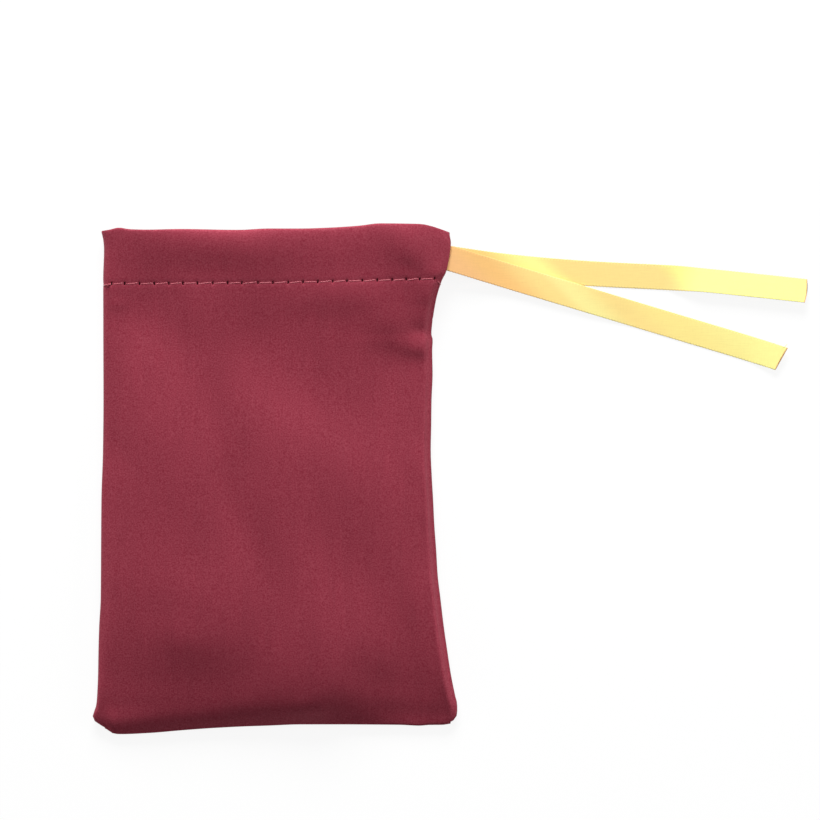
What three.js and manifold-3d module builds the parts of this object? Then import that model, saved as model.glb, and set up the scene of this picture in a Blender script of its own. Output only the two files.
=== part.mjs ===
// A satin gift pouch lying flat on its back, with a ribbon drawstring.
// One sheet of satin is folded at the left side and sewn along the bottom and the right side.
// Its top edge is hemmed inwards all round, so that a row of stitches makes a casing.
// The casing is open at the right, where both ends of the ribbon come out of it.
//
// Millimetres. +Z is up, +Y runs to the mouth and +X to the side where the ribbon leaves.
// The origin is on the table under the middle of the pouch.

import * as THREE from "three";
import Module from "manifold-3d";

const wasm = await Module();
wasm.setup();

// The pouch from above.
const pouchWidth = 90.8;
const pouchLength = 127.3;
const casingDepth = 13.4;

// The satin and the sewing.
const satin = 0.35;
const hemPastStitches = 2.2;
const seamAllowance = 5;
const seamWall = 1.3;
const seamHalfHeight = 0.8;
const seamCleft = 0.9;
const stitchGroove = 0.45;
const stitchGrooveReach = 0.9;

// How the pouch puffs up where it lies.
const edgeLift = 0.4;
const foldHalfHeight = 1.8;
const casingFoldHalfHeight = 2.5;
const casingEndHalfHeight = 2.15;
const bodyCrown = 8.9;
const stitchCrown = 7.9;
const mouthCrown = 8.4;
const frontShoulder = 22;
const backShoulder = 9;
const bottomShoulder = 22;
const rimRounding = 0.65;
const puckerHeight = 0.55;
const puckerLength = 7;
const puckerReach = 8;
const puckerBelowStitches = 15.5;

// The ribbon and its channel in the casing.
const ribbonWidth = 6.35;
const ribbonThickness = 0.3;
const ribbonClearance = 0.3;
const ribbonAboveStitches = 5.6;
const channelPastStitches = 1.2;
const channelBelowRim = 1;
const endSlant = 0.5;
const endCurl = 1.1;
const frontTailReach = 82.9;
const frontTailDrop = 24.4;
const backTailReach = 88.7;
const backTailDrop = 8.2;

const halfWidth = pouchWidth / 2;
const halfLength = pouchLength / 2;
const channelGap = ribbonThickness + 2 * ribbonClearance;
const casingWall = 2 * satin + channelGap;
const channelMiddle = satin + channelGap / 2;
const pastTheEdge = 3;
const quarterTurn = Math.PI / 2;

// Rows run across the pouch. They are named by the height they would have on a square pouch.
const bottomRow = -0.974 * halfLength;
const rimRow = 0.979 * halfLength;
const stitchRow = rimRow - casingDepth;

// Steps of the grid that the skins are laid out on.
const foldSteps = 4;
const shoulderSteps = 6;
const flatSteps = 3;
const cornerSteps = 3;
const bodySteps = 7;
const gatherSteps = 9;

// A smooth curve through pairs of place and value, which never overshoots them.
function curveThrough(pairs) {
  const last = pairs.length - 1;
  const rise = (i) => (pairs[i + 1][1] - pairs[i][1]) / (pairs[i + 1][0] - pairs[i][0]);
  const slopes = pairs.map((_, i) => {
    if (i === 0) return rise(0);
    if (i === last) return rise(last - 1);
    const before = rise(i - 1);
    const after = rise(i);
    return before * after > 0 ? (2 * before * after) / (before + after) : 0;
  });
  return (place) => {
    const p = THREE.MathUtils.clamp(place, pairs[0][0], pairs[last][0]);
    let i = 0;
    while (i < last - 1 && pairs[i + 1][0] < p) i += 1;
    const span = pairs[i + 1][0] - pairs[i][0];
    const t = (p - pairs[i][0]) / span;
    const rest = 1 - t;
    return (
      pairs[i][1] * (1 + 2 * t) * rest * rest +
      slopes[i] * span * t * rest * rest +
      pairs[i + 1][1] * t * t * (3 - 2 * t) -
      slopes[i + 1] * span * t * t * rest
    );
  };
}

// A smooth curve through shares of two lengths.
function shareCurve(placeUnit, valueUnit, shares) {
  return curveThrough(shares.map(([place, value]) => [place * placeUnit, value * valueUnit]));
}

// The outline of the pouch from above: x of the two sides over y, and y of the ends over x.
const leftSide = shareCurve(halfLength, halfWidth, [
  [-1, -0.872],
  [-0.947, -0.993],
  [-0.93, -1],
  [-0.872, -0.982],
  [-0.55, -0.967],
  [0, -0.958],
  [0.471, -0.949],
  [0.974, -0.945],
]);
const rightSide = shareCurve(halfLength, halfWidth, [
  [-0.965, 0.903],
  [-0.957, 0.949],
  [-0.941, 0.982],
  [-0.905, 1],
  [-0.831, 0.978],
  [-0.556, 0.916],
  [-0.085, 0.861],
  [0.189, 0.85],
  [0.534, 0.857],
  [0.731, 0.892],
  [0.819, 0.938],
  [0.911, 0.956],
  [0.974, 0.952],
]);
const bottomEnd = shareCurve(halfWidth, halfLength, [
  [-0.872, -1],
  [-0.747, -0.996],
  [-0.416, -0.98],
  [0.022, -0.965],
  [0.264, -0.96],
  [0.903, -0.965],
]);
const topEnd = shareCurve(halfWidth, halfLength, [
  [-0.947, 0.969],
  [-0.868, 0.983],
  [-0.749, 0.976],
  [-0.264, 0.972],
  [0.132, 0.98],
  [0.463, 0.988],
  [0.595, 0.999],
  [0.837, 1],
  [0.952, 0.971],
]);
const stitchDrop = shareCurve(halfWidth, casingDepth, [
  [-0.947, 0.123],
  [-0.176, 0.116],
  [0.903, 0.026],
]);
const stitchLine = (x) => halfLength - casingDepth - stitchDrop(x);

// Half of the height that the fold and the seamed side have along the pouch.
const leftHalfHeight = curveThrough([
  [bottomRow, seamHalfHeight],
  [bottomRow + 0.03 * pouchLength, 0.78 * foldHalfHeight],
  [bottomRow + 0.09 * pouchLength, foldHalfHeight],
  [stitchRow - 0.08 * pouchLength, foldHalfHeight],
  [stitchRow, 0.96 * casingFoldHalfHeight],
  [stitchRow + 0.15 * casingDepth, casingFoldHalfHeight],
  [rimRow, casingFoldHalfHeight],
]);
const rightHalfHeight = curveThrough([
  [bottomRow, seamHalfHeight],
  [stitchRow - casingDepth, seamHalfHeight],
  [stitchRow, 0.95 * casingEndHalfHeight],
  [stitchRow + 0.15 * casingDepth, casingEndHalfHeight],
  [rimRow, casingEndHalfHeight],
]);
const rightCorner = curveThrough([
  [bottomRow, 0.88 * seamHalfHeight],
  [stitchRow - casingDepth, 0.88 * seamHalfHeight],
  [stitchRow, 0.5 * seamHalfHeight],
  [rimRow, 0.5 * seamHalfHeight],
]);
const crown = curveThrough([
  [bottomRow, bodyCrown],
  [stitchRow - bottomShoulder, bodyCrown],
  [stitchRow, stitchCrown],
  [rimRow, mouthCrown],
]);

const swell = (distance, reach) => {
  return Math.sin(quarterTurn * THREE.MathUtils.clamp(distance / reach, 0, 1));
};

// Where a place on a row really is along the pouch.
function along(x, row) {
  const stitches = stitchLine(x);
  if (row < stitchRow) {
    const share = (row - stitchRow) / (stitchRow - bottomRow);
    return stitches + share * (stitches - bottomEnd(x));
  }
  return stitches + ((row - stitchRow) / casingDepth) * (topEnd(x) - stitches);
}

// The puckers that the side seam draws up just below the casing.
function pucker(row, fromRight) {
  const away = (row - stitchRow + puckerBelowStitches) / puckerLength;
  const fade = Math.exp(-((fromRight / puckerReach) ** 2)) * Math.exp(-(away ** 4));
  return puckerHeight * Math.cos(2 * Math.PI * away) * fade * swell(fromRight, puckerReach / 3);
}

// Height of the front of the pouch and of its back, in from the fold and in from the right side.
function frontHeight(row, fromLeft, fromRight) {
  const share = THREE.MathUtils.smoothstep(fromLeft / (fromLeft + fromRight), 0, 1);
  const halfHeight = THREE.MathUtils.lerp(leftHalfHeight(row), rightHalfHeight(row), share);
  const edge = edgeLift + 2 * halfHeight;
  const rise =
    swell(fromLeft, frontShoulder) *
    swell(fromRight, frontShoulder) *
    swell(row - bottomRow, bottomShoulder);
  return edge + (crown(row) - edge) * rise + pucker(row, fromRight);
}

function backHeight(row, fromLeft, fromRight) {
  const flat =
    swell(fromLeft, backShoulder) *
    swell(fromRight, backShoulder) *
    swell(row - bottomRow, backShoulder);
  return edgeLift * (1 - flat);
}

// Places across a row from the fold to the right side, closer together near both.
function stepsAcross(width) {
  const places = [];
  for (let i = 0; i < shoulderSteps; i += 1) {
    places.push(frontShoulder * (i / shoulderSteps) ** 1.3);
  }
  for (let i = 0; i <= flatSteps; i += 1) {
    places.push(frontShoulder + ((width - 2 * frontShoulder) * i) / flatSteps);
  }
  for (let i = shoulderSteps - 1; i >= 0; i -= 1) {
    places.push(width - frontShoulder * (i / shoulderSteps) ** 1.3);
  }
  return places;
}

// One row of a skin that lies the inset below the outside of the pouch.
// It has the front and the back as two lists, both from the fold to the right side.
function skinRow(row, inset, { wall = inset, beyond = 0 } = {}) {
  const yLeft = along(-0.925 * halfWidth, row);
  const yRight = along(0.88 * halfWidth, row);
  const left = Math.max(leftSide(yLeft), leftSide(yLeft - wall) + Math.min(satin, wall) - inset);
  const outer = Math.min(rightSide(yRight), rightSide(yRight - wall) + 0.3 * wall);
  const right = outer - wall + inset;
  const foldRadius = leftHalfHeight(row);
  const sideHalf = rightHalfHeight(row);
  const corner = Math.min(rightCorner(row), sideHalf * 0.9);
  const start = left + foldRadius;
  const end = right - corner;
  const front = [];
  const back = [];
  const put = (list, x, z) => list.push([x, along(x, row), z]);
  for (let i = 0; i < foldSteps; i += 1) {
    const angle = (quarterTurn * (i + 0.5)) / (foldSteps + 0.5);
    const x = start - (foldRadius - inset) * Math.cos(angle);
    const height = (foldRadius - inset) * Math.sin(angle);
    put(front, x, edgeLift + foldRadius + height);
    put(back, x, edgeLift + foldRadius - height);
  }
  const width = end - start;
  for (const place of stepsAcross(width)) {
    put(front, start + place, frontHeight(row, place, width - place) - inset);
    put(back, start + place, backHeight(row, place, width - place) + inset);
  }
  if (beyond > 0) {
    put(front, right + beyond, edgeLift + 2 * sideHalf - inset);
    put(back, right + beyond, edgeLift + inset);
    return { front, back };
  }
  const rounding = Math.max(corner - inset, seamHalfHeight / 10);
  for (let i = 1; i <= cornerSteps; i += 1) {
    const angle = (quarterTurn * i) / cornerSteps;
    const x = end + rounding * Math.sin(angle);
    const drop = rounding * (1 - Math.cos(angle)) + inset;
    put(front, x, edgeLift + 2 * sideHalf - drop);
    put(back, x, edgeLift + drop);
  }
  return { front, back };
}

// A solid through rows that each have two sides, given as lists of points that pair up.
function loft(rows) {
  const points = [];
  const corners = [];
  const half = rows[0].front.length;
  const round = 2 * half;
  for (const { front, back } of rows) points.push(...front, ...[...back].reverse());
  for (let j = 0; j + 1 < rows.length; j += 1) {
    for (let i = 0; i < round; i += 1) {
      const next = (i + 1) % round;
      const [a, b, c, d] = [j * round + i, j * round + next, (j + 1) * round + next, (j + 1) * round + i];
      corners.push(a, b, c, a, c, d);
    }
  }
  const lastRing = (rows.length - 1) * round;
  for (let i = 0; i + 1 < half; i += 1) {
    const [f, g, s, t] = [i, i + 1, round - 1 - i, round - 2 - i];
    corners.push(f, t, g, f, s, t);
    corners.push(lastRing + f, lastRing + g, lastRing + t, lastRing + f, lastRing + t, lastRing + s);
  }
  return solidFrom(points.flat(), corners);
}

// A manifold solid with its faces turned outwards.
function solidFrom(numbers, corners) {
  const at = (i) => new THREE.Vector3().fromArray(numbers, 3 * i);
  let volume = 0;
  for (let i = 0; i < corners.length; i += 3) {
    const [a, b, c] = [at(corners[i]), at(corners[i + 1]), at(corners[i + 2])];
    volume += a.dot(b.cross(c));
  }
  const turned = [...corners];
  if (volume < 0) turned.reverse();
  return new wasm.Manifold(
    new wasm.Mesh({
      numProp: 3,
      vertProperties: new Float32Array(numbers),
      triVerts: new Uint32Array(turned),
    }),
  );
}

function geometryFrom(solid) {
  const { numProp, vertProperties, triVerts } = solid.getMesh();
  const geometry = new THREE.BufferGeometry();
  const positions = new Float32Array((vertProperties.length / numProp) * 3);
  for (let i = 0; i * numProp < vertProperties.length; i += 1) {
    positions.set(vertProperties.subarray(i * numProp, i * numProp + 3), 3 * i);
  }
  geometry.setAttribute("position", new THREE.BufferAttribute(positions, 3));
  geometry.setIndex(new THREE.BufferAttribute(new Uint32Array(triVerts), 1));
  geometry.computeVertexNormals();
  return geometry;
}

const spread = (from, to, steps) => {
  return Array.from({ length: steps }, (_, i) => from + ((to - from) * i) / steps);
};

// Rows that the outside and the inside share, from the bottom seam up to the hem.
const hemRow = stitchRow - hemPastStitches;
const bodyTop = stitchRow - 1.57 * casingDepth;
const aboveHem = 0.45 * hemPastStitches;
const sharedRows = [
  ...[0.14, 0.25, 0.39, 0.57, 0.77].map((share) => bottomRow + share * bottomShoulder),
  ...spread(bottomRow + bottomShoulder, bodyTop, bodySteps),
  ...spread(bodyTop, hemRow - aboveHem, gatherSteps),
  hemRow - aboveHem,
];
const casingRows = [0.22, 0.49, 0.75].map((share) => stitchRow + share * casingDepth);

function outside() {
  const deep = stitchGroove;
  return loft([
    skinRow(bottomRow, 0.5 * seamHalfHeight),
    skinRow(bottomRow + 0.2 * seamHalfHeight, 0.2 * seamHalfHeight),
    skinRow(bottomRow + 0.6 * seamHalfHeight, 0),
    skinRow(bottomRow + seamWall, 0),
    ...sharedRows.map((row) => skinRow(row, 0)),
    skinRow(stitchRow - stitchGrooveReach, 0),
    skinRow(stitchRow - stitchGrooveReach / 2, deep * 0.6),
    skinRow(stitchRow, deep),
    skinRow(stitchRow + stitchGrooveReach / 2, deep * 0.6),
    skinRow(stitchRow + stitchGrooveReach, 0),
    ...casingRows.map((row) => skinRow(row, 0)),
    skinRow(rimRow - rimRounding, 0),
    skinRow(rimRow - rimRounding * 0.35, rimRounding * 0.35),
    skinRow(rimRow, rimRounding),
  ]);
}

// The room inside the body. Its wall is one layer, and two layers behind the hem.
function bodyRoom() {
  const wall = { wall: seamWall };
  const pinch = (casingWall + 2 * satin) / 2;
  return loft([
    skinRow(bottomRow + seamWall, satin, wall),
    ...sharedRows.map((row) => skinRow(row, satin, wall)),
    skinRow(hemRow - satin / 7, satin, wall),
    skinRow(hemRow, 2 * satin, wall),
    skinRow(stitchRow - stitchGrooveReach, 2 * satin, wall),
    skinRow(stitchRow, pinch, { wall: pinch + satin }),
    skinRow(stitchRow + stitchGrooveReach, casingWall, { wall: casingWall + satin / 2 }),
  ]);
}

// The mouth between the two casings. It is open at the right side as well, above the seam.
function mouthRoom() {
  const open = { beyond: pastTheEdge };
  return loft([
    skinRow(stitchRow + satin, casingWall, open),
    ...casingRows.map((row) => skinRow(row, casingWall, open)),
    skinRow(rimRow - rimRounding, casingWall, open),
    skinRow(rimRow - rimRounding * 0.35, casingWall - rimRounding * 0.3, open),
    skinRow(rimRow, casingWall - rimRounding * 0.85, open),
    skinRow(rimRow + pastTheEdge, casingWall - rimRounding * 0.85, open),
  ]);
}

// The channel between the outer layer and the hem, from one open end round to the other.
function channel() {
  const rows = [stitchRow + channelPastStitches, ...casingRows, rimRow - channelBelowRim];
  const strip = (row, inset) => {
    const { front, back } = skinRow(row, inset, { beyond: pastTheEdge });
    return [...[...back].reverse(), ...front];
  };
  return loft(
    rows.map((row) => ({
      front: strip(row, satin),
      back: strip(row, satin + channelGap),
    })),
  );
}

// The sewn edge from the casing down the right side and along the bottom, as stations.
// Each has a point on the edge, the direction into the pouch and the height of the seam.
function seamStations() {
  const edge = [];
  const cornerTop = bottomRow + 0.055 * pouchLength;
  for (const row of spread(stitchRow - stitchGrooveReach, cornerTop, 14)) {
    const y = along(0.88 * halfWidth, row);
    edge.push([rightSide(y), y, edgeLift + rightHalfHeight(row)]);
  }
  const seam = edgeLift + seamHalfHeight;
  for (const share of [-0.874, -0.905, -0.927, -0.941, -0.952, -0.9575]) {
    edge.push([rightSide(share * halfLength), share * halfLength, seam]);
  }
  for (const share of [...spread(0.916, -0.89, 13), -0.89]) {
    edge.push([share * halfWidth, bottomEnd(share * halfWidth), seam]);
  }
  return edge.map(([x, y, z], i) => {
    const before = edge[Math.max(i - 1, 0)];
    const after = edge[Math.min(i + 1, edge.length - 1)];
    const inward = new THREE.Vector2(after[1] - before[1], before[0] - after[0]).normalize();
    return { x, y, z, inward };
  });
}

// A strip along the seam, between two depths into the pouch and with a height at each.
function seamStrip(stations, fromDepth, toDepth, fromHeight, toHeight) {
  return loft(
    stations.map(({ x, y, z, inward }) => {
      const at = (depth, height) => [x + inward.x * depth, y + inward.y * depth, z + height];
      return {
        front: [at(fromDepth, fromHeight), at(toDepth, toHeight)],
        back: [at(fromDepth, -fromHeight), at(toDepth, -toHeight)],
      };
    }),
  );
}

function pouchShell() {
  const stations = seamStations();
  const sideStations = stations.slice(0, 17);
  const bottomStations = stations.slice(20, -1);
  const allowance = [sideStations, bottomStations].map((part) => {
    return seamStrip(part, 1.1 * seamCleft, seamWall + seamAllowance, 0.95 * satin, 0.95 * satin);
  });
  const cleft = seamStrip(stations, -seamHalfHeight, seamCleft, 0.78 * seamHalfHeight, 0.02 * seamCleft);
  return outside()
    .subtract(bodyRoom())
    .subtract(mouthRoom())
    .subtract(channel())
    .add(allowance[0])
    .add(allowance[1])
    .subtract(cleft);
}

// The ribbon outside the casing. Each tail has its reach to the side, its drop, and how high
// its middle lies. Both are given over the share of the reach.
const exitX = 0.956 * halfWidth;
const exitY = stitchRow + 0.455 * casingDepth;
const onTheTable = 0.6 * ribbonThickness;
const overTheOther = 2.75 * ribbonThickness;
const frontTail = {
  reach: frontTailReach,
  drop: shareCurve(1, frontTailDrop, [
    [0, 0],
    [0.454, 0.466],
    [0.695, 0.713],
    [0.936, 0.955],
    [1, 1],
  ]),
  height: curveThrough([
    [0, edgeLift + 2 * casingEndHalfHeight - channelMiddle],
    [0.2, 1.6 * overTheOther],
    [0.43, overTheOther],
    [0.59, onTheTable],
    [0.9, onTheTable],
    [1, onTheTable + endCurl],
  ]),
  steps: [0.045, 0.08, 0.13, 0.18, 0.25, 0.33, 0.43, 0.48, 0.53, 0.59, 0.7, 0.8, 0.9, 0.94, 0.97, 1],
};
const backTail = {
  reach: backTailReach,
  drop: shareCurve(1, backTailDrop, [
    [0, 0],
    [0.153, 0.226],
    [0.289, 0.372],
    [0.424, 0.476],
    [0.649, 0.61],
    [0.876, 0.854],
    [1, 1],
  ]),
  height: curveThrough([
    [0, edgeLift + channelMiddle],
    [0.165, onTheTable],
    [1, onTheTable],
  ]),
  steps: [0.03, 0.063, 0.11, 0.165, 0.255, 0.37, 0.48, 0.59, 0.7, 0.82, 0.93, 1],
};

// One flat cut across the ribbon, from its two edges and the way it faces.
function ribbonCut(lower, upper, facing) {
  const up = facing.clone().setLength(ribbonThickness / 2);
  const shifted = (edge, side) => edge.clone().addScaledVector(up, side).toArray();
  return {
    front: [shifted(lower, 1), shifted(upper, 1)],
    back: [shifted(lower, -1), shifted(upper, -1)],
  };
}

// Cuts along a tail, from the casing out to its end, which is cut a little aslant.
function tailCuts({ reach, drop, height, steps }) {
  const middle = (share) => new THREE.Vector3(exitX + share * reach, exitY - drop(share), height(share));
  return steps.map((share) => {
    const forward = middle(Math.min(share + 0.005, 1)).sub(middle(share - 0.005)).normalize();
    const across = new THREE.Vector3(-forward.y, forward.x, 0).setLength(ribbonWidth / 2);
    const facing = forward.clone().cross(across);
    const slant = forward.clone().multiplyScalar(share === 1 ? endSlant : 0);
    const lower = middle(share).sub(across).sub(slant);
    const upper = middle(share).add(across).add(slant);
    return ribbonCut(lower, upper, facing);
  });
}

// The run inside the casing, between the two open ends and round the fold.
function casingRun() {
  const middleRow = stitchRow + ribbonAboveStitches;
  const edges = [-ribbonWidth / 2, ribbonWidth / 2].map((aside) => {
    const { front, back } = skinRow(middleRow + aside, channelMiddle);
    const kept = (list) => list.slice(0, foldSteps + 2 * shoulderSteps + flatSteps + 1);
    return [...kept(back).reverse(), ...kept(front)].map((p) => new THREE.Vector3(...p));
  });
  return edges[0].map((lower, i) => {
    const upper = edges[1][i];
    const before = edges[0][Math.max(i - 1, 0)];
    const after = edges[0][Math.min(i + 1, edges[0].length - 1)];
    const forward = after.clone().sub(before);
    const facing = forward.cross(upper.clone().sub(lower));
    return ribbonCut(lower, upper, facing);
  });
}

function ribbon() {
  const turned = ({ front, back }) => ({ front: back, back: front });
  const backCuts = tailCuts(backTail).reverse().map(turned);
  return loft([...backCuts, ...casingRun(), ...tailCuts(frontTail)]);
}

function part(name, solid, color) {
  const material = new THREE.MeshStandardMaterial({ color, roughness: 0.55 });
  const mesh = new THREE.Mesh(geometryFrom(solid), material);
  mesh.name = name;
  return mesh;
}

const pouch = new THREE.Group();
pouch.name = "gift_pouch";
pouch.add(part("pouch_shell", pouchShell(), 0x873442));
pouch.add(part("drawstring_ribbon", ribbon(), 0xfee494));

export default pouch;
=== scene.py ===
import bpy
import numpy as np
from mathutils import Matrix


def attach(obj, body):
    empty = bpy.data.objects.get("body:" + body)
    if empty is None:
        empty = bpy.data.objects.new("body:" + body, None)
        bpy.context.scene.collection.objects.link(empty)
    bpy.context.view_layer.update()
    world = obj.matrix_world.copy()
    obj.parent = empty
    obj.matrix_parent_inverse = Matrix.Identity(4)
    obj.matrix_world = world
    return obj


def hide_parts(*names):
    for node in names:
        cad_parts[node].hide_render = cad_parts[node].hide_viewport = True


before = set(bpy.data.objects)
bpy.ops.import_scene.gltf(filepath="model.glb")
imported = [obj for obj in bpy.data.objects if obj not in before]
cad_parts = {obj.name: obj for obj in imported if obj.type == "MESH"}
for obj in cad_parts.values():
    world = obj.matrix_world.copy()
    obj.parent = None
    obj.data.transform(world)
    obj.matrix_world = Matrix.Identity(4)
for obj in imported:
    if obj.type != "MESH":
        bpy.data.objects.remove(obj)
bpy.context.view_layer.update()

# The camera hangs straight above the table, as it does over goods that are photographed on a
# white sheet. It has a long lens, so that the pouch shows no perspective. Its picture is 205 mm
# wide, with the pouch at the left and the ribbon at the right.
lens_mm, film_mm = 200, 36
picture_width = 0.205
picture_middle = (0.0336, 0.0171)
width_is_true_at = 0.002
camera = bpy.data.objects.new("table_camera", bpy.data.cameras.new("table_camera"))
camera.data.lens = lens_mm
camera.data.sensor_width = film_mm
camera.location = (*picture_middle, picture_width * lens_mm / film_mm + width_is_true_at)
bpy.context.collection.objects.link(camera)
bpy.context.scene.camera = camera


# The ribbon is one quarter inch satin ribbon of pale yellow polyester, with a woven edge of tiny
# loops along both sides. Its two tails leave the right end of the casing, the front one over the
# back one, and come down to the table, where they lie loose with cut ends.
ribbon_width = 6.35
ribbon_thickness = 0.16
loop_pitch = 0.79
loop_depth = 0.09
steps_in_a_loop = 6
exit_x, exit_y = 43.4, 55.01
front_exit_z, back_exit_z = 3.9, 1.2
cut_reach = 6
fray_radius, fray_sides = 0.06, 6

# Places across the ribbon, from one edge at -1 to the other at 1, and how thick it is at each.
# The strips between them are counted over the top, round one edge and back over the underside.
across_shares = np.array(
    [-1, -0.98, -0.93, -0.88, -0.83, -0.45, 0, 0.45, 0.83, 0.88, 0.93, 0.98, 1]
)
thick_shares = np.array([0.5, 0.9, 1, 1, 1, 1, 1, 1, 1, 1, 1, 0.9, 0.5])
# The woven edge is drawn in darker and lighter copies of the satin: painted shade in the gaps
# between its loops and along its edge, and a painted highlight on its loops and frayed threads.
outer_strips, inner_strips = (0, 1, 10, 11, 12), (2, 3, 8, 9)
body_satin, gap_shade_satin, edge_shade_satin, loop_highlight_satin, sealed_satin = range(5)


def curve_through(pairs):
    """A smooth curve through pairs of place and value, which never overshoots them."""
    places, values = (np.array(column, float) for column in zip(*pairs))
    rises = np.diff(values) / np.diff(places)
    slopes = np.concatenate(([rises[0]], np.zeros(len(rises) - 1), [rises[-1]]))
    for i in range(1, len(rises)):
        if rises[i - 1] * rises[i] > 0:
            slopes[i] = 2 * rises[i - 1] * rises[i] / (rises[i - 1] + rises[i])

    def value_at(place):
        p = np.clip(place, places[0], places[-1])
        i = np.clip(np.searchsorted(places, p, side="right") - 1, 0, len(rises) - 1)
        span = places[i + 1] - places[i]
        t = (p - places[i]) / span
        return (
            values[i] * (1 + 2 * t) * (1 - t) ** 2
            + slopes[i] * span * t * (1 - t) ** 2
            + values[i + 1] * t**2 * (3 - 2 * t)
            - slopes[i + 1] * span * t**2 * (1 - t)
        )

    return value_at


def mesh_piece(name, points, faces, materials, kinds=None):
    """An object from points in millimetres, smooth. Kinds says which material each face has."""
    mesh = bpy.data.meshes.new(name)
    mesh.from_pydata((np.asarray(points) * 0.001).tolist(), [], faces)
    mesh.polygons.foreach_set("use_smooth", [True] * len(mesh.polygons))
    for material in materials:
        mesh.materials.append(material)
    if kinds is not None:
        mesh.polygons.foreach_set("material_index", kinds)
    mesh.update()
    piece = bpy.data.objects.new(name, mesh)
    bpy.context.collection.objects.link(piece)
    return piece


def loft_faces(rings, around):
    """Quads between rings of points that close on themselves, and a face over each end."""
    faces = []
    for j in range(rings - 1):
        for i in range(around):
            k = (i + 1) % around
            here, ahead = j * around, (j + 1) * around
            faces.append((here + i, here + k, ahead + k, ahead + i))
    faces.append(tuple(reversed(range(around))))
    faces.append(tuple(range((rings - 1) * around, rings * around)))
    return faces


def tube(points, radius, sides):
    """Rings round a line of points, for a thread."""
    forward = np.gradient(points, axis=0)
    forward /= np.linalg.norm(forward, axis=1)[:, None]
    aside = np.cross(forward, (0, 0, 1))
    aside /= np.linalg.norm(aside, axis=1)[:, None]
    upward = np.cross(aside, forward)
    turn = np.linspace(0, 2 * np.pi, sides, endpoint=False)
    ring = aside[:, None] * np.cos(turn)[:, None] + upward[:, None] * np.sin(turn)[:, None]
    return (points[:, None] + radius * ring).reshape(-1, 3)


def even_steps(route, step):
    """The same route with its points an even step apart."""
    lengths = np.linalg.norm(np.diff(route, axis=0), axis=1)
    travelled = np.concatenate(([0], np.cumsum(lengths)))
    places = np.linspace(0, travelled[-1], int(travelled[-1] / step) + 1)
    return np.stack([np.interp(places, travelled, route[:, k]) for k in range(3)], axis=1)


def ribbon_piece(name, middle, across, facing, materials, end_slant=0.0, end_bow=0.0, frays=()):
    """A flat ribbon along a line of middles, with its width along across at each of them."""
    forward = np.gradient(middle, axis=0)
    forward /= np.linalg.norm(forward, axis=1)[:, None]
    places = np.arange(len(middle))
    loops = loop_depth * np.sin(np.pi * places / steps_in_a_loop) ** 2
    left = len(middle) - 1 - places
    near_end = np.clip(1 - left * loop_pitch / steps_in_a_loop / cut_reach, 0, 1) ** 2
    flat_reach = across_shares * (ribbon_width / 2 - loop_depth)
    looped = np.sign(across_shares) * (abs(across_shares) > 0.95)
    cut = end_slant * across_shares + end_bow * (1 - across_shares**2)
    rings = []
    for j in range(len(middle)):
        reach = flat_reach + looped * loops[j]
        sheet = middle[j] + across[j] * reach[:, None] + forward[j] * (cut * near_end[j])[:, None]
        lift = facing[j] * (thick_shares * ribbon_thickness / 2)[:, None]
        rings.append(np.concatenate((sheet + lift, (sheet - lift)[::-1])))
    around = 2 * len(across_shares)
    faces = loft_faces(len(middle), around)
    kinds = []
    # Along the edges, the loops get the copy with a painted highlight, and the gaps between them
    # the copies with painted shade.
    for j in range(len(middle) - 1):
        gap = j % steps_in_a_loop in (0, 1, steps_in_a_loop - 1)
        for i in range(around):
            strip = i % len(across_shares)
            if j > len(middle) - 4:
                kinds.append(sealed_satin)
            elif strip in outer_strips:
                kinds.append(gap_shade_satin if gap else edge_shade_satin)
            elif strip in inner_strips:
                kinds.append(edge_shade_satin if gap else loop_highlight_satin)
            else:
                kinds.append(body_satin)
    kinds += [sealed_satin, sealed_satin]
    points = np.concatenate(rings)
    for fray in frays:
        line = middle[-1] + np.array(fray)
        first = len(points)
        points = np.concatenate((points, tube(line, fray_radius, fray_sides)))
        more = loft_faces(len(line), fray_sides)
        faces += [tuple(first + k for k in face) for face in more]
        kinds += [loop_highlight_satin] * len(more)
    return mesh_piece(name, points, faces, materials, kinds)


def ribbon_frame(middle, lean=lambda share: 0 * share):
    """The direction across a route, and the way its upper side faces.

    Lean says how many degrees the ribbon leans over at each share of the route, its right up.
    """
    forward = np.gradient(middle, axis=0)
    across = np.stack((-forward[:, 1], forward[:, 0], np.zeros(len(middle))), axis=1)
    across /= np.linalg.norm(across, axis=1)[:, None]
    facing = np.cross(forward, across)
    facing /= np.linalg.norm(facing, axis=1)[:, None]
    angle = np.radians(lean(np.linspace(0, 1, len(middle))))[:, None]
    return (
        across * np.cos(angle) - facing * np.sin(angle),
        facing * np.cos(angle) + across * np.sin(angle),
    )


def tail_route(reach, drop, height):
    """The middle of a tail, from where it leaves the casing to its cut end, in even steps."""
    share = np.linspace(0, 1, 900)
    route = np.stack((exit_x + reach * share, exit_y - drop(share), height(share)), axis=1)
    return even_steps(route, loop_pitch / steps_in_a_loop)


def fine_noise(nodes, links, place, stretch, detail=2.0):
    """Noise whose grains are as many to the metre in x, y and z as stretch says."""
    mapping = nodes.new("ShaderNodeMapping")
    mapping.inputs["Scale"].default_value = stretch
    noise = nodes.new("ShaderNodeTexNoise")
    noise.inputs["Scale"].default_value = 1
    noise.inputs["Detail"].default_value = detail
    links.new(place, mapping.inputs["Vector"])
    links.new(mapping.outputs["Vector"], noise.inputs["Vector"])
    return noise.outputs["Fac"]


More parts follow.
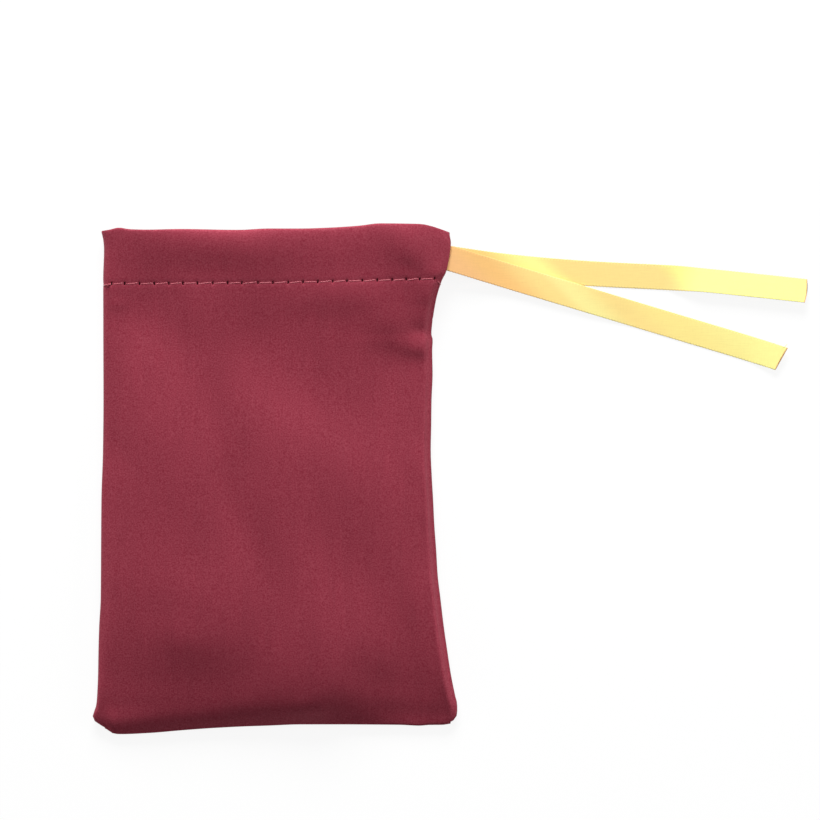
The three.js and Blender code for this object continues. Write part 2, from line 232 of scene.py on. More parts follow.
def between(nodes, links, low, high, factor):
    """Noise, which runs from about a quarter to three quarters, as a value from low to high."""
    ranged = nodes.new("ShaderNodeMapRange")
    ranged.inputs["From Min"].default_value = 0.25
    ranged.inputs["From Max"].default_value = 0.75
    ranged.inputs["To Min"].default_value = low
    ranged.inputs["To Max"].default_value = high
    links.new(factor, ranged.inputs["Value"])
    return ranged.outputs["Result"]


def ribbon_satin(name, ends, stops, shade):
    """Satin whose colour changes along a tail, from its exit at 0 to its cut end at 1. Its stops
    carry painted shade and painted highlights as well as the ribbon's own colour.

    Ends are the values of x + y, in metres, at the exit and at the cut end, so that the painted
    highlights lie aslant.
    """
    satin = bpy.data.materials.new(name)
    satin.use_nodes = True
    nodes, links = satin.node_tree.nodes, satin.node_tree.links
    shader = nodes["Principled BSDF"]
    shader.inputs["Roughness"].default_value = 0.55
    shader.inputs["Specular IOR Level"].default_value = 0.25
    shader.inputs["Sheen Weight"].default_value = 0.05
    shader.inputs["Sheen Roughness"].default_value = 0.4
    place = nodes.new("ShaderNodeTexCoord").outputs["Object"]
    slanted = nodes.new("ShaderNodeVectorMath")
    slanted.operation = "DOT_PRODUCT"
    slanted.inputs[1].default_value = (1, 1, 0)
    links.new(place, slanted.inputs[0])
    along_tail = nodes.new("ShaderNodeMapRange")
    along_tail.inputs["From Min"].default_value = ends[0]
    along_tail.inputs["From Max"].default_value = ends[1]
    links.new(slanted.outputs["Value"], along_tail.inputs["Value"])
    ramp = nodes.new("ShaderNodeValToRGB")
    ramp.color_ramp.interpolation = "EASE"
    while len(ramp.color_ramp.elements) < len(stops):
        ramp.color_ramp.elements.new(0.5)
    for element, (position, color) in zip(ramp.color_ramp.elements, stops):
        element.position = position
        element.color = (*(shade * c for c in color), 1)
    links.new(along_tail.outputs["Result"], ramp.inputs["Fac"])
    floats = fine_noise(nodes, links, place, (300, 5200, 900))
    weft = fine_noise(nodes, links, place, (4200, 500, 900))
    threads = nodes.new("ShaderNodeMath")
    threads.operation = "ADD"
    links.new(between(nodes, links, -0.035, 0.035, floats), threads.inputs[0])
    links.new(between(nodes, links, 0.98, 1.02, weft), threads.inputs[1])
    tinted = nodes.new("ShaderNodeVectorMath")
    tinted.operation = "SCALE"
    links.new(ramp.outputs["Color"], tinted.inputs[0])
    links.new(threads.outputs["Value"], tinted.inputs["Scale"])
    links.new(tinted.outputs["Vector"], shader.inputs["Base Color"])
    grain = nodes.new("ShaderNodeBump")
    grain.inputs["Strength"].default_value = 0.25
    grain.inputs["Distance"].default_value = 0.00004
    links.new(floats, grain.inputs["Height"])
    links.new(grain.outputs["Normal"], shader.inputs["Normal"])
    return satin


def ribbon_satins(side, ends, stops):
    """The satins of one tail: its body, darker copies with painted shade for the gaps in its edge
    and for its edge, a lighter copy with a painted highlight for its loops, and its end.
    """
    parts = (("satin", 0.96), ("gaps", 0.82), ("edge", 0.95), ("loops", 1.02))
    satins = [ribbon_satin(f"ribbon_{part}_{side}", ends, stops, shade) for part, shade in parts]
    return [*satins, sealed_end]


# The gold is the ribbon's own colour. The rest is painted light: painted shade and a painted
# reflection of the red pouch make the tails orange near the casing, and painted highlights make
# them paler in bands and towards their ends.
painted_shade_orange, gold = (0.95, 0.54, 0.23), (0.95, 0.72, 0.26)
painted_highlight_straw, pale = (0.95, 0.84, 0.32), (0.9, 0.84, 0.26)
front_colors_and_painted_light = [
    (0.0, painted_shade_orange),
    (0.14, (0.95, 0.56, 0.2)),
    (0.3, gold),
    (0.385, painted_highlight_straw),
    (0.53, gold),
    (0.68, (0.95, 0.78, 0.27)),
    (1.0, (0.95, 0.89, 0.32)),
]
back_colors_and_painted_light = [
    (0.0, painted_shade_orange),
    (0.1, (0.95, 0.62, 0.22)),
    (0.25, (0.95, 0.92, 0.31)),
    (0.33, (0.94, 0.71, 0.255)),
    (0.6, (0.93, 0.72, 0.265)),
    (0.69, pale),
    (1.0, pale),
]
sealed_end = bpy.data.materials.new("ribbon_sealed_end")
sealed_end.use_nodes = True
shader = sealed_end.node_tree.nodes["Principled BSDF"]
shader.inputs["Base Color"].default_value = (0.7, 0.4, 0.16, 1)
shader.inputs["Roughness"].default_value = 0.4
front_satins = ribbon_satins("front", (0.0984, 0.1569), front_colors_and_painted_light)
back_satins = ribbon_satins("back", (0.0984, 0.1789), back_colors_and_painted_light)

front_route = tail_route(
    83.2,
    curve_through(
        [(0, 0), (0.454, 11.32), (0.695, 17.34), (0.875, 21.82), (0.936, 23.4), (1, 25.15)]
    ),
    curve_through(
        [(0, front_exit_z), (0.2, 1.35), (0.43, 0.83), (0.59, 0.18), (0.9, 0.18), (1, 1.25)]
    ),
)
front_tail = ribbon_piece(
    "ribbon_front_tail",
    front_route,
    *ribbon_frame(front_route),
    front_satins,
    end_slant=0.62,
    end_bow=-0.12,
    frays=[[(0.5, 2.7, 0.0), (0.9, 3.2, 0.05), (1.2, 3.55, 0.1), (1.35, 3.7, 0.1)]],
)
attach(front_tail, "root")
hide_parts("drawstring_ribbon")

back_route = tail_route(
    89.25,
    curve_through(
        [(0, 0), (0.153, 1.85), (0.289, 3.05), (0.424, 3.9), (0.649, 4.95), (0.876, 6.9), (1, 8.1)]
    ),
    curve_through([(0, back_exit_z), (0.165, 0.15), (0.6, 0.15), (0.72, 1.1), (1, 1.1)]),
)
back_tail = ribbon_piece(
    "ribbon_back_tail",
    back_route,
    *ribbon_frame(back_route, curve_through([(0, 0), (0.6, 0), (0.72, 18), (1, 18)])),
    back_satins,
    end_slant=0.05,
    end_bow=0.35,
)
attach(back_tail, "root")
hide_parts("drawstring_ribbon")

for tail, route in ((front_tail, front_route), (back_tail, back_route)):
    points = [tuple(p) for p in (np.concatenate((route[::20], route[-1:])) * 0.001).tolist()]


# The pouch is one sheet of burgundy polyester satin. It is folded at the left side, sewn right
# sides together along the bottom and the right side, and turned. The top edge is folded inwards
# and sewn down all round, which makes the casing, and the casing is left open at the right.
cloth_thickness = 0.3
edge_lift = 0.4

# Rows run across the sheet. They are straight at first, and are bent to the real ends and to the
# line of stitches. The sheet's middle lies a layer below the outside of the pouch. The hem lies a
# casing wall below it, and the rim between them turns round inwards.
bottom_row, stitch_row, rim_row = -62.0, 48.91, 62.31
layer, casing_wall = 0.17, 1.6
rim_rounding, fold_depth = 2.6, 0.48

# The outline: where each side is at heights along the pouch, and each end at places across it.
left_side = curve_through(
    [
        (-63.8, -40.6),
        (-62.4, -42.85),
        (-61.4, -44.5),
        (-60.4, -45.62),
        (-59.4, -45.78),
        (-58.4, -45.38),
        (-57.2, -44.95),
        (-55.4, -44.7),
        (-49, -44.4),
        (-43, -44.3),
        (-36.6, -44.1),
        (-30.4, -43.75),
        (-5.4, -43.57),
        (7, -43.17),
        (20, -43.05),
        (38.4, -43.1),
        (49.6, -43.1),
        (57.4, -42.87),
        (59.6, -43.05),
        (60.8, -43.35),
        (61.8, -43.75),
    ]
)
right_side = curve_through(
    [
        (-61.4, 43.2),
        (-60.4, 44.9),
        (-59.4, 45.32),
        (-58.2, 45.43),
        (-56.6, 45.42),
        (-55.4, 45.1),
        (-49, 43.8),
        (-43, 42.9),
        (-36.6, 42.0),
        (-30.4, 41.27),
        (-24, 40.52),
        (-18, 40.17),
        (-11.6, 39.7),
        (-5.4, 39.4),
        (1, 39.03),
        (7, 38.8),
        (13.4, 38.92),
        (19.6, 39.0),
        (26, 39.27),
        (32, 39.17),
        (34.6, 39.3),
        (36.2, 38.95),
        (38.4, 39.12),
        (44.6, 40.1),
        (47.6, 40.9),
        (49.6, 41.6),
        (51.6, 42.57),
        (53.6, 43.05),
        (55.6, 43.4),
        (57.6, 43.64),
        (59.6, 43.8),
        (61.8, 43.5),
    ]
)
bottom_end = curve_through(
    [
        (-42.3, -62.6),
        (-41.3, -63.25),
        (-40.3, -63.8),
        (-38.8, -63.87),
        (-31.3, -63.55),
        (-23.8, -62.92),
        (-16.3, -62.37),
        (-8.8, -61.97),
        (-1.3, -61.7),
        (6.1, -61.42),
        (13.6, -61.42),
        (31, -61.55),
        (36, -61.77),
        (38.6, -61.57),
        (41.5, -61.55),
        (43.5, -61.3),
    ]
)
top_end = curve_through(
    [
        (-42.9, 61.7),
        (-41.4, 61.92),
        (-38.9, 62.42),
        (-36.4, 62.0),
        (-31.4, 61.85),
        (-23.9, 61.95),
        (-8.9, 61.7),
        (-1.4, 62.05),
        (6.1, 62.05),
        (13.6, 62.27),
        (21.1, 62.77),
        (26.1, 63.35),
        (36.1, 63.27),
        (38.6, 62.85),
        (41.6, 61.92),
        (43.4, 61.3),
    ]
)
stitch_line = curve_through([(-43, 48.6), (-8, 48.7), (20, 49.2), (41, 49.85)])

# From row to row: half the height of the cloth at the fold and at the side seam, how round the
# edge of the seam is, and the height of the crown.
left_half_height = curve_through(
    [
        (bottom_row, 0.8),
        (bottom_row + 3.8, 1.4),
        (bottom_row + 11.5, 1.8),
        (stitch_row - 10.2, 1.8),
        (stitch_row, 2.2),
        (stitch_row + 3, 2.25),
        (rim_row, 2.5),
    ]
)
right_half_height = curve_through(
    [
        (bottom_row, 0.8),
        (stitch_row - 13.4, 0.8),
        (stitch_row, 2.05),
        (stitch_row + 2, 2.15),
        (rim_row, 2.15),
    ]
)
right_corner = curve_through(
    [(bottom_row, 0.7), (stitch_row - 13.4, 0.7), (stitch_row, 0.4), (rim_row, 0.4)]
)
crown = curve_through(
    [(bottom_row, 8.9), (stitch_row - 22, 8.9), (stitch_row, 7.9), (rim_row, 8.4)]
)

# The round of the fold turns this far up before it meets the slope of the front.
fold_turn = np.radians(67)
fold_angles = np.linspace(-np.pi / 2, fold_turn, 15)[1:-1]


def front_begin(row, inset=0.0):
    """Where the front begins on a row: where the round turn of the fold has reached its slope."""
    fold = left_half_height(row)
    return left_side(along(-42, row)) + fold - (fold - inset) * np.cos(fold_turn)


def ease(value, low, high):
    """From 0 at low to 1 at high, with a soft start and end."""
    t = np.clip((value - low) / (high - low), 0, 1)
    return t * t * (3 - 2 * t)


def swell(distance, reach, fullness):
    """How far stuffed cloth has risen from 0 at its seam to 1 at a reach from it."""
    return 1 - (1 - np.clip(distance / reach, 0, 1)) ** fullness


def along(x, row):
    """Where a place on a row really is along the pouch."""
    stitches = stitch_line(x)
    below = stitches + (row - stitch_row) / (stitch_row - bottom_row) * (stitches - bottom_end(x))
    above = stitches + (row - stitch_row) / (rim_row - stitch_row) * (top_end(x) - stitches)
    return np.where(row < stitch_row, below, above)


# Each soft fold in the front has its middle, the turn of its length from level, half its length
# and half its breadth, and its height, which is below zero for a hollow. The puckers are small
# ones that run right up to the seam. All the front folds but the first were worked out by separate
# fitting programs from the photograph's brightness, and weren't placed by hand. The fifth pucker
# began as one of them.
seam_puckers = [
    (38.5, 2.9, -9, 3, 0.9, -0.16),
    (38.9, -13.4, -9, 3, 0.9, -0.16),
    (36.8, 36.8, -12, 3.4, 1.4, -0.28),
    (37.5, 43, -8, 2.6, 1.3, -0.14),
    (36, 32.2, -5, 4.5, 1.7, 0.44),
    (34.3, 51.9, -28, 4.6, 1.4, -0.17),
]
front_folds = [
    (-40, 43.5, 4, 3, 1.2, 0.15),
    (-7, 57, 90, 12, 6, 0.4),
    (13, 57, 90, 12, 6, 0.4),
    (-27, 39, -60, 12, 6, -0.25),
    (-11, 24, 60, 12, 6, -0.25),
    (-3, 18, 90, 12, 6, -0.4),
    (-27, 18, -60, 12, 6, -0.3),
    (17, 18, 90, 12, 6, -0.3),
    (-39, 6, -60, 9, 3.5, -0.35),
    (-7, 3, 90, 12, 6, -0.4),
    (33, -48, 90, 12, 6, -0.5),
    (5, -48, 90, 12, 6, 0.45),
    (9, -57, 30, 9, 3.5, 0.3),
    (-14.9, 58.7, -1, 17, 5.8, 1.2),
    (20.4, 58.3, 42, 17, 10, 1.2),
    (34.4, 56.8, 29, 5.1, 8, 1.04),
    (32.8, 56.8, 44, 17, 7.4, 0.46),
    (-2, 55.2, 38, 15.7, 10, 1.05),
    (19.5, 45.5, 2, 17, 4.2, 0.51),
    (40.5, 43.6, 23, 13.3, 6.6, 1.2),
    (-33.5, 41.5, 80, 11, 5.9, -0.64),
    (39.4, 37.5, -85, 10.4, 3.3, 0.86),
    (31.5, 37, -32, 9.3, 5.8, 1.19),
    (-4, 32.7, 2, 17, 9.7, -0.98),
    (-26.1, 32.1, -61, 14.1, 9.9, -1.2),
    (17.1, 29.5, 19, 12.9, 9.5, -0.69),
    (27.9, 25.8, 72, 17, 7.9, -0.99),
    (9, 20, -33, 17, 10, -1.2),
    (39.9, 19.4, 88, 17, 5.5, 1.2),
    (37.5, 18.7, -90, 17, 1, 0.26),
    (-14.6, 15.4, -75, 14.1, 5.5, -0.89),
    (40.8, 1, -50, 8.3, 4.6, 1.2),
    (38.3, -5, -86, 17, 1, 0.26),
    (38.4, -7.2, -86, 17, 1, 0.26),
    (40, -7.3, -88, 8.5, 3.2, 0.83),
    (38.4, -7.4, -86, 17, 1, 0.26),
    (38.3, -9.1, -85, 14.1, 6.4, 1.2),
    (-8.4, -10.3, -69, 17, 5.1, -0.83),
    (40.1, -14, -88, 17, 7.1, 0.59),
    (40.7, -22, -85, 17, 1.8, 0.48),
    (21.9, -23.9, -64, 17, 9, -0.88),
    (40.9, -24.6, -88, 5.1, 3.7, 0.69),
    (-20.8, -31.1, -25, 17, 10, 0.84),
    (41.2, -31.2, -65, 12.2, 7.8, 1.2),
    (42, -35.3, -88, 17, 3.3, 0.75),
    (-42, -36, -86, 17, 7.5, 0.79),
    (10.5, -37.3, -86, 16.1, 5.4, 1.2),
    (41.3, -38.6, -82, 17, 1, 0.26),
    (-23.6, -39.6, -6, 7.9, 4.7, 0.39),
    (41.5, -40.3, -82, 17, 1, 0.26),
    (41.9, -40.5, -83, 17, 1.2, 0.31),
    (41.7, -41.7, -82, 17, 1, 0.26),
    (41.6, -43.5, -71, 17, 5.3, 1.2),
    (-34.8, -48.6, -79, 17, 4.1, -0.27),
    (41.7, -49.9, 53, 12.6, 9.4, 1.2),
    (-19, -52.5, -1, 16.8, 7.6, -1.01),
    (-42, -56.4, 82, 17, 4.6, -0.54),
    (31.7, -57.3, -13, 10.8, 4.3, 0.81),
    (9.6, -57.7, 69, 17, 5.2, 0.82),
    (27.6, -58, -66, 14.2, 5.5, -1.2),
    (33.7, -58, -79, 17, 5.7, -1.15),
    (-2.9, -58, 12, 17, 10, 1.2),
    (42, -58, 39, 17, 3.8, -0.46),
    (35.5, -58, 70, 17, 3.9, -0.32),
    (40.1, -58, 63, 17, 8.2, -0.4),
    (-37.2, -58, 89, 17, 5.5, -0.38),
]


def soft_folds(x, y, folds):
    """How far the folds lift the front at a place."""
    total = np.zeros(np.shape(x))
    for at_x, at_y, turn, reach, breadth, height in folds:
        c, s = np.cos(np.radians(turn)), np.sin(np.radians(turn))
        u = ((x - at_x) * c + (y - at_y) * s) / reach
        v = ((y - at_y) * c - (x - at_x) * s) / breadth
        total = total + height * np.exp(-(u**2) - v**2)
    return total


def front_height(x, y, row, from_left, from_right):
    """Height of the front's outside, at its distances from the fold and from the side seam."""
    share = ease(from_left / (from_left + from_right), 0, 1)
    half = left_half_height(row) * (1 - share) + right_half_height(row) * share
    edge = edge_lift + 2 * half - (1 - np.sin(fold_turn)) * left_half_height(row) * (1 - share)
    rise = swell(from_left, 26, 2.3) * swell(from_right, 26, 2.3)
    rise = rise * (0.66 * swell(row - bottom_row, 24, 2.6) + 0.34 * swell(row - bottom_row, 80, 2))
    relief = soft_folds(x, y, front_folds)
    calm = swell(from_left, 3, 2) * swell(from_right, 2, 2) * ease(y, -63, -56)
    puckers = soft_folds(x, y, seam_puckers) * swell(from_right, 1, 2)
    return edge + (crown(row) - edge) * rise + relief * calm + puckers


def back_height(row, from_left, from_right):
    """Height of the back's outside, which lies on the table but for its lifted edges."""
    flat = swell(from_left, 12, 2.3) * swell(from_right, 12, 2.3)
    return edge_lift * (1 - flat * swell(row - bottom_row, 12, 2.3))


# The needle holes of the casing's seam, spaced as a hand-fed machine leaves them.
stitch_holes = np.concatenate(
    (
        [-40.8, -37.5, -33.8, -30.1, -26.4, -22.9, -19.3, -15.4, -11.7, -8.2, -4.2, -0.5],
        [3.3, 7.0, 10.7, 14.4, 17.9, 21.7, 25.4, 29.1, 32.6, 36.0, 39.6],
    )
)


def panel_shares(beside_holes, between_holes):
    """Shares across a panel, with a column at each needle hole and some close beside it."""
    start = float(front_begin(stitch_row, layer))
    end = float(right_side(along(40, stitch_row)) - 0.4)
    places = [start, end]
    last = max(beside_holes)
    for i, hole in enumerate(stitch_holes):
        places += [hole + beside for beside in beside_holes]
        ahead = stitch_holes[i + 1] if i + 1 < len(stitch_holes) else end
        gap = ahead - hole - 2 * last
        places += [hole + last + gap * (k + 1) / (between_holes + 1) for k in range(between_holes)]
    inside = sorted({round(p, 3) for p in places if start <= p <= end})
    return (np.array(inside) - start) / (end - start)


def cloth_row(y_row, shape_row, inset, tuck):
    """One row of the sheet, from its back edge at the right, round the fold, to its front edge.

    The inset is how far it lies below the outside. Tuck is 0 where both edges are sewn into the
    side seam, and 1 where each turns in under its own end of the casing.
    """
    left = float(left_side(along(-42, shape_row)))
    right = float(right_side(along(40, shape_row)))
    fold, side = float(left_half_height(shape_row)), float(right_half_height(shape_row))
    corner = min(float(right_corner(shape_row)), 0.9 * side)
    start, end = left + fold, right - corner
    width = end - start
    middle = edge_lift + side

    def y_at(x):
        return along(x, np.full(np.shape(x), y_row))

    begin, begin_here = float(front_begin(shape_row)), float(front_begin(shape_row, inset))
    x = begin_here + (end - begin_here) * front_shares
    z = front_height(x, y_at(x), shape_row, x - begin, end - x) - inset
    front = np.stack((x, y_at(x), z), 1)
    x = start + width * back_shares[::-1]
    back = np.stack((x, y_at(x), back_height(shape_row, x - start, end - x) + inset), 1)
    x = start - (fold - inset) * np.cos(fold_angles)
    turn = np.stack((x, y_at(x), edge_lift + fold + (fold - inset) * np.sin(fold_angles)), 1)

    round_by = max(corner - inset, 0.05)
    angle = np.array([0.5, 1.05, 1.5])
    x = end + round_by * np.sin(angle)
    lip_z = edge_lift + 2 * side - inset - round_by * (1 - np.cos(angle))
    sewn_x = right - np.array([0.12, 0.9, 2.2, 5.5])
    sewn_z = middle + np.array([0.38 * side, 0.17, 0.17, 0.2])
    own_inset = 0.8 + 0.5 * (inset - 0.8)
    to_end = np.maximum(end - sewn_x, 0)
    own_z = front_height(sewn_x, y_at(sewn_x), shape_row, sewn_x - begin, to_end) - own_inset
    tucked_z = sewn_z * (1 - tuck) + own_z * tuck
    x = np.concatenate((x, sewn_x))
    front_edge = np.stack((x, y_at(x), np.concatenate((lip_z, tucked_z))), 1)
    own_back = back_height(shape_row, sewn_x - start, to_end) + own_inset
    tucked_back = (2 * middle - sewn_z) * (1 - tuck) + own_back * tuck
    back_edge = np.stack((x, y_at(x), np.concatenate((2 * middle - lip_z, tucked_back))), 1)
    return np.concatenate((back_edge[::-1], back, turn, front, front_edge))


front_shares = panel_shares((-0.55, -0.23, -0.18, -0.06, 0.06, 0.18, 0.23, 0.55), 1)
back_shares = panel_shares((-0.3, 0, 0.3), 1)

# The rows of the sheet: the hem, up inside the casing, over the rim, down the outside of the
# casing, past the stitches, down to the bottom seam and in along its allowance.
rows = []
for above in (-2.2, -1.2, -0.4, 0, 0.4, 1.2):
    rows.append((stitch_row + above, stitch_row + above, casing_wall - layer, 1))
for row in np.linspace(stitch_row + 3, rim_row - rim_rounding - 0.4, 5):
    rows.append((row, row, casing_wall - layer, 1))
for angle in np.linspace(-np.pi / 2, np.pi / 2, 15):
    row = rim_row + rim_rounding * (np.cos(angle) - 1)
    reach_in = fold_depth - layer if angle > 0 else casing_wall - layer - fold_depth
    rows.append((row, row, fold_depth - reach_in * np.sin(angle), 1))
for row in np.linspace(rim_row - rim_rounding - 0.6, stitch_row + 1.7, 9):
    rows.append((row, row, layer, 1))
for above in (1.2, 0.8, 0.48, 0.42, 0.2, 0, -0.2, -0.42, -0.48, -0.8, -1.2):
    groove = 0.06 * np.exp(-((above / 0.6) ** 2))
    tuck = float(ease(above, -1, 0.2))
    rows.append((stitch_row + above, stitch_row + above, layer + groove, tuck))
for row in np.linspace(stitch_row - 2, stitch_row - 24, 25):
    rows.append((row, row, layer, 0))
for row in np.linspace(stitch_row - 24, bottom_row + 22, 33)[1:]:
    rows.append((row, row, layer, 0))
for row in np.linspace(bottom_row + 22, bottom_row + 0.8, 19)[1:]:
    rows.append((row, row, layer, 0))
seam_turn = [(0.45, 0.2), (0.2, 0.32), (0.05, 0.5), (0.12, 0.66)]
seam_turn += [(0.9, 0.7), (2.2, 0.66), (5.5, 0.62)]
for above, inset in seam_turn:
    rows.append((bottom_row + above, bottom_row + seam_turn[0][0], inset, 0))

sheet = np.array([cloth_row(*row) for row in rows])
row_count, column_count = sheet.shape[:2]
outside = np.array([inset < 0.5 for _, _, inset, _ in rows])[:, None]
between_halves, hole_dent = 3, 0.16
for hole in stitch_holes:
    off_x, off_y = sheet[:, :, 0] - hole, sheet[:, :, 1] - stitch_line(hole)
    inwards = np.where(sheet[:, :, 2] > between_halves, -hole_dent, hole_dent)
    sheet[:, :, 2] += inwards * np.exp(-((off_x / 0.3) ** 2) - (off_y / 0.55) ** 2) * outside


def is_pierced(j, i):
    """Whether the needle went through the sheet at one of its squares, on its outside."""
    x, y = (sheet[j, i, :2] + sheet[j + 1, i + 1, :2]) / 2
    beside = np.abs(stitch_holes - x).min()
    return outside[j, 0] and beside < 0.2 and abs(y - stitch_line(x)) < 0.43


cloth_faces = [
    (
        j * column_count + i,
        j * column_count + i + 1,
        (j + 1) * column_count + i + 1,
        (j + 1) * column_count + i,
    )
    for j in range(row_count - 1)
    for i in range(column_count - 1)
    if not is_pierced(j, i)
]

pouch_satin = bpy.data.materials.new("pouch_satin")
pouch_satin.use_nodes = True
nodes, links = pouch_satin.node_tree.nodes, pouch_satin.node_tree.links
shader = nodes["Principled BSDF"]
shader.inputs["Metallic"].default_value = 0.22
shader.inputs["Roughness"].default_value = 0.6
shader.inputs["Specular IOR Level"].default_value = 0.25
shader.inputs["Specular Tint"].default_value = (1.0, 0.45, 0.5, 1)
shader.inputs["Sheen Weight"].default_value = 0.2
shader.inputs["Sheen Roughness"].default_value = 0.35
shader.inputs["Sheen Tint"].default_value = (1.0, 0.4, 0.48, 1)
place = nodes.new("ShaderNodeTexCoord").outputs["Object"]
warp = fine_noise(nodes, links, place, (2600, 160, 400))
weft = fine_noise(nodes, links, place, (220, 2900, 400))
grain = fine_noise(nodes, links, place, (2900, 2900, 1200), 3)
slubs = fine_noise(nodes, links, place, (420, 45, 60))
mottle = fine_noise(nodes, links, place, (60, 40, 60))
shades = [
    between(nodes, links, 0.96, 1.04, warp),
    between(nodes, links, 0.98, 1.02, weft),
    between(nodes, links, 0.85, 1.15, grain),
    between(nodes, links, 0.975, 1.025, slubs),
    between(nodes, links, 0.97, 1.03, mottle),
]
shade = shades[0]
for other in shades[1:]:
    product = nodes.new("ShaderNodeMath")
    product.operation = "MULTIPLY"
    links.new(shade, product.inputs[0])
    links.new(other, product.inputs[1])
    shade = product.outputs["Value"]
dyed = nodes.new("ShaderNodeVectorMath")
dyed.operation = "SCALE"
dyed.inputs[0].default_value = (0.271, 0.0362, 0.0588)
links.new(shade, dyed.inputs["Scale"])
# The grain also adds small grey specks to the dyed colour: painted glints, for the sparkle of the
# satin's threads.
glint = nodes.new("ShaderNodeVectorMath")
glint.operation = "MULTIPLY_ADD"
glint.inputs[0].default_value = (0.016, 0.0145, 0.0155)
links.new(between(nodes, links, -1, 1, grain), glint.inputs[1])
links.new(dyed.outputs["Vector"], glint.inputs[2])
links.new(glint.outputs["Vector"], shader.inputs["Base Color"])
threads = nodes.new("ShaderNodeMath")
threads.operation = "ADD"
links.new(warp, threads.inputs[0])
links.new(grain, threads.inputs[1])
weave = nodes.new("ShaderNodeBump")
weave.inputs["Strength"].default_value = 0.3
weave.inputs["Distance"].default_value = 0.00004
links.new(threads.outputs["Value"], weave.inputs["Height"])
links.new(weave.outputs["Normal"], shader.inputs["Normal"])

pouch_cloth = mesh_piece("pouch_cloth", sheet.reshape(-1, 3), cloth_faces, [pouch_satin])
two_sides = pouch_cloth.modifiers.new("two_sides", "SOLIDIFY")
two_sides.thickness = cloth_thickness * 0.001
two_sides.offset = 0
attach(pouch_cloth, "root")
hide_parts("pouch_shell")


# Inside the casing the same ribbon runs from the back end round the fold to the front end. It
# lies flat between the outer layer and the hem, and only its ends are seen.
def casing_line(row):
    """A line along the middle of the channel at one row, from the back's end to the front's."""
    inset = casing_wall / 2
    left, right = float(left_side(along(-42, row))), float(right_side(along(40, row)))
    fold = float(left_half_height(row))
    start, end = left + fold, right - 0.4
    x = np.linspace(end - 0.2, start, 60)
    back = np.stack((x, along(x, row), back_height(row, x - start, end - x) + inset), 1)
    x = start - (fold - inset) * np.cos(fold_angles)
    z = edge_lift + fold + (fold - inset) * np.sin(fold_angles)
    turn = np.stack((x, along(x, row), z), 1)
    x = np.linspace(float(front_begin(row, inset)), end - 0.2, 60)
    y = along(x, row)
    z = front_height(x, y, row, x - float(front_begin(row)), end - x) - inset
    front = np.stack((x, y, z), 1)
    return np.concatenate((back, turn, front))


run_row = stitch_row + 5.9
lower, upper = casing_line(run_row - ribbon_width / 2), casing_line(run_row + ribbon_width / 2)
run_middle = (lower + upper) / 2
run_middle[0], run_middle[-1] = back_route[0], front_route[0]
run_across = (upper - lower) / np.linalg.norm(upper - lower, axis=1)[:, None]
run_facing = np.cross(np.gradient(run_middle, axis=0), run_across)
run_facing /= np.linalg.norm(run_facing, axis=1)[:, None]
casing_run = ribbon_piece("ribbon_in_casing", run_middle, run_across, run_facing, front_satins)
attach(casing_run, "root")
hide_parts("drawstring_ribbon")


# One row of lockstitches holds the hem down, in polyester thread of a paler red. On the front
# each stitch lies on the cloth from one needle hole to the next and dives into both. The same
# row shows on the back.
thread_radius, thread_sides = 0.14, 8
thread_red = bpy.data.materials.new("thread_red")
thread_red.use_nodes = True
nodes, links = thread_red.node_tree.nodes, thread_red.node_tree.links
shader = nodes["Principled BSDF"]
shader.inputs["Roughness"].default_value = 0.5
shader.inputs["Specular IOR Level"].default_value = 0.35
shader.inputs["Sheen Weight"].default_value = 0.15
place = nodes.new("ShaderNodeTexCoord").outputs["Object"]
strands = fine_noise(nodes, links, place, (3500, 3500, 3500))
twist = between(nodes, links, 0.8, 1.2, strands)
dyed = nodes.new("ShaderNodeVectorMath")
dyed.operation = "SCALE"
dyed.inputs[0].default_value = (0.45, 0.095, 0.125)
links.new(twist, dyed.inputs["Scale"])
links.new(dyed.outputs["Vector"], shader.inputs["Base Color"])

# On the front one more thread comes up round the fold at the left, and one goes round the edge
# of the side seam at the right.
fold_thread = [(-42.85, 48.2, 3.3), (-42.4, 48.27, 4.45), (-41.7, 48.4, 5.02), (-40.95, 48.5, 4.5)]
side_thread = [(39.75, 49.7, 4.4), (40.3, 49.35, 5.0), (40.95, 48.75, 4.7), (41.2, 48.4, 3.7)]


def outside_z(x, y, front):
    """Height of the outside of the pouch along its stitches."""
    start = float(front_begin(stitch_row))
    end = float(right_side(along(40, stitch_row))) - 0.4
    from_left, from_right = np.maximum(x - start, 0), np.maximum(end - x, 0.01)
    if front:
        return front_height(x, y, stitch_row, from_left, from_right) - 0.25
    return back_height(stitch_row, from_left, from_right) + 0.25


def stitch_between(hole, ahead, tilt, front):
    """The visible thread from one needle hole to the next, with both its ends diving in."""
    share = np.linspace(0, 1, 17)
    share = share - 0.06 * np.sin(2 * np.pi * share)
    x = hole + 0.14 + (ahead - hole - 0.28) * share
    y = stitch_line(x) + tilt * (share - 0.5)
    rise = 0.1 - 0.75 * np.exp(-(((x - hole) / 0.27) ** 2))
    rise = rise - 0.75 * np.exp(-(((ahead - x) / 0.27) ** 2))
    z = outside_z(x, y, front)
    return np.stack((x, y, z + rise if front else z - rise), 1)


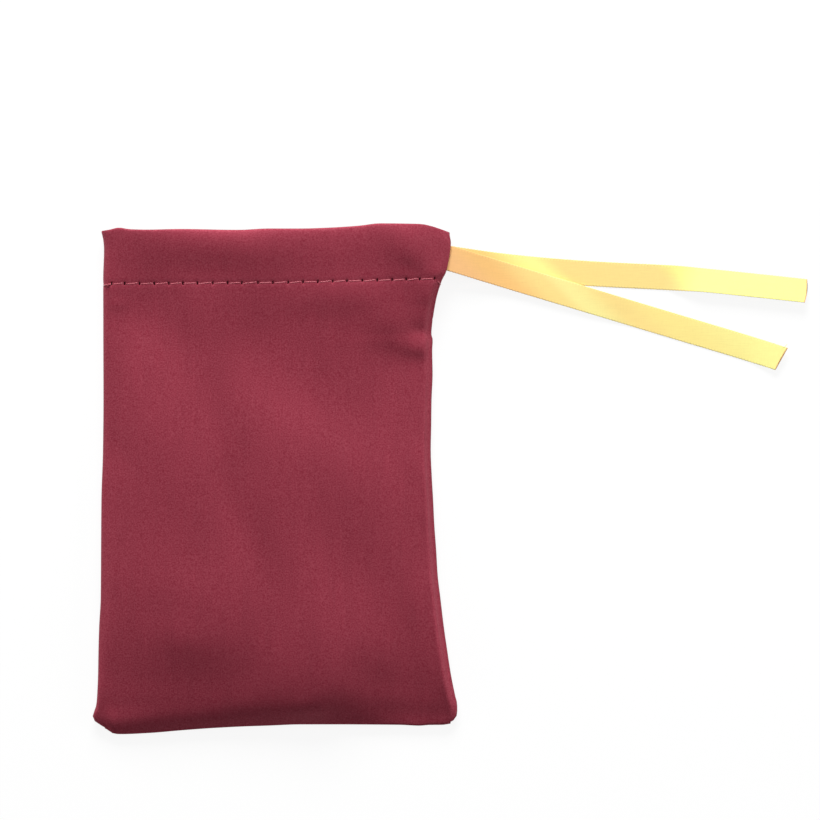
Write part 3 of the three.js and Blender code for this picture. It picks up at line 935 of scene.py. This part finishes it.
for name, front in (("stitches_front", True), ("stitches_back", False)):
    lines = [
        stitch_between(hole, ahead, 0.26 + 0.17 * np.sin(2.3 * i), front)
        for i, (hole, ahead) in enumerate(zip(stitch_holes[:-1], stitch_holes[1:]))
    ]
    if front:
        steps = 3 * np.linspace(0, 1, 17)
        for corners in (np.array(fold_thread), np.array(side_thread)):
            lines.append(np.stack([np.interp(steps, range(4), corners[:, k]) for k in range(3)], 1))
    points, faces = [], []
    for line in lines:
        first = len(points) * len(line) * thread_sides
        points.append(tube(line, thread_radius, thread_sides))
        more = loft_faces(len(line), thread_sides)
        faces += [tuple(first + k for k in face) for face in more]
    stitches = mesh_piece(name, np.concatenate(points), faces, [thread_red])
    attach(stitches, "root")


# The table is a sheet of white paper, lit so that it goes to pure white round the pouch and
# keeps only a soft shadow. Plain soft lamps stand beyond the mouth and at both sides.
paper = bpy.data.materials.new("white_paper")
paper.use_nodes = True
nodes, links = paper.node_tree.nodes, paper.node_tree.links
shader = nodes["Principled BSDF"]
shader.inputs["Base Color"].default_value = (0.8, 0.8, 0.8, 1)
shader.inputs["Roughness"].default_value = 0.9
shader.inputs["Specular IOR Level"].default_value = 0.0
glow = nodes.new("ShaderNodeEmission")
glow.inputs["Strength"].default_value = 1.04
rays = nodes.new("ShaderNodeLightPath")
seen = rays.outputs["Is Camera Ray"]
for kind in ("Is Glossy Ray", "Is Transmission Ray"):
    either = nodes.new("ShaderNodeMath")
    either.operation = "MAXIMUM"
    links.new(seen, either.inputs[0])
    links.new(rays.outputs[kind], either.inputs[1])
    seen = either.outputs["Value"]
dimmed = nodes.new("ShaderNodeMixShader")
dimmed.inputs["Fac"].default_value = 0.86
links.new(shader.outputs["BSDF"], dimmed.inputs[1])
links.new(glow.outputs["Emission"], dimmed.inputs[2])
chosen = nodes.new("ShaderNodeMixShader")
links.new(seen, chosen.inputs["Fac"])
links.new(shader.outputs["BSDF"], chosen.inputs[1])
links.new(dimmed.outputs["Shader"], chosen.inputs[2])
links.new(chosen.outputs["Shader"], nodes["Material Output"].inputs["Surface"])

reach, table_z = 2500, -0.02
corners = [(-reach, -reach), (reach, -reach), (reach, reach), (-reach, reach)]
table = mesh_piece("paper_table", [(x, y, table_z) for x, y in corners], [(0, 1, 2, 3)], [paper])


def soft_lamp(name, place, size, power):
    """A lamp with a soft box before it, which faces the pouch."""
    light = bpy.data.lights.new(name, "AREA")
    light.shape = "RECTANGLE"
    light.size, light.size_y = size
    light.energy = power
    holder = bpy.data.objects.new(name, light)
    holder.location = place
    holder.rotation_euler = holder.location.to_track_quat("Z", "Y").to_euler()
    bpy.context.collection.objects.link(holder)


soft_lamp("lamp_beyond_mouth", (-0.05, 0.85, 0.42), (0.6, 0.4), 15.1)
soft_lamp("lamp_left", (-0.8, 0.05, 0.3), (0.5, 0.4), 1.35)
soft_lamp("lamp_right", (0.85, 0.05, 0.3), (0.5, 0.4), 2.95)

white_room = bpy.data.worlds.new("white_room")
white_room.use_nodes = True
bpy.context.scene.world = white_room
white_room.node_tree.nodes["Background"].inputs["Color"].default_value = (1, 1, 1, 1)
white_room.node_tree.nodes["Background"].inputs["Strength"].default_value = 0.18
bpy.context.scene.view_settings.view_transform = "Standard"
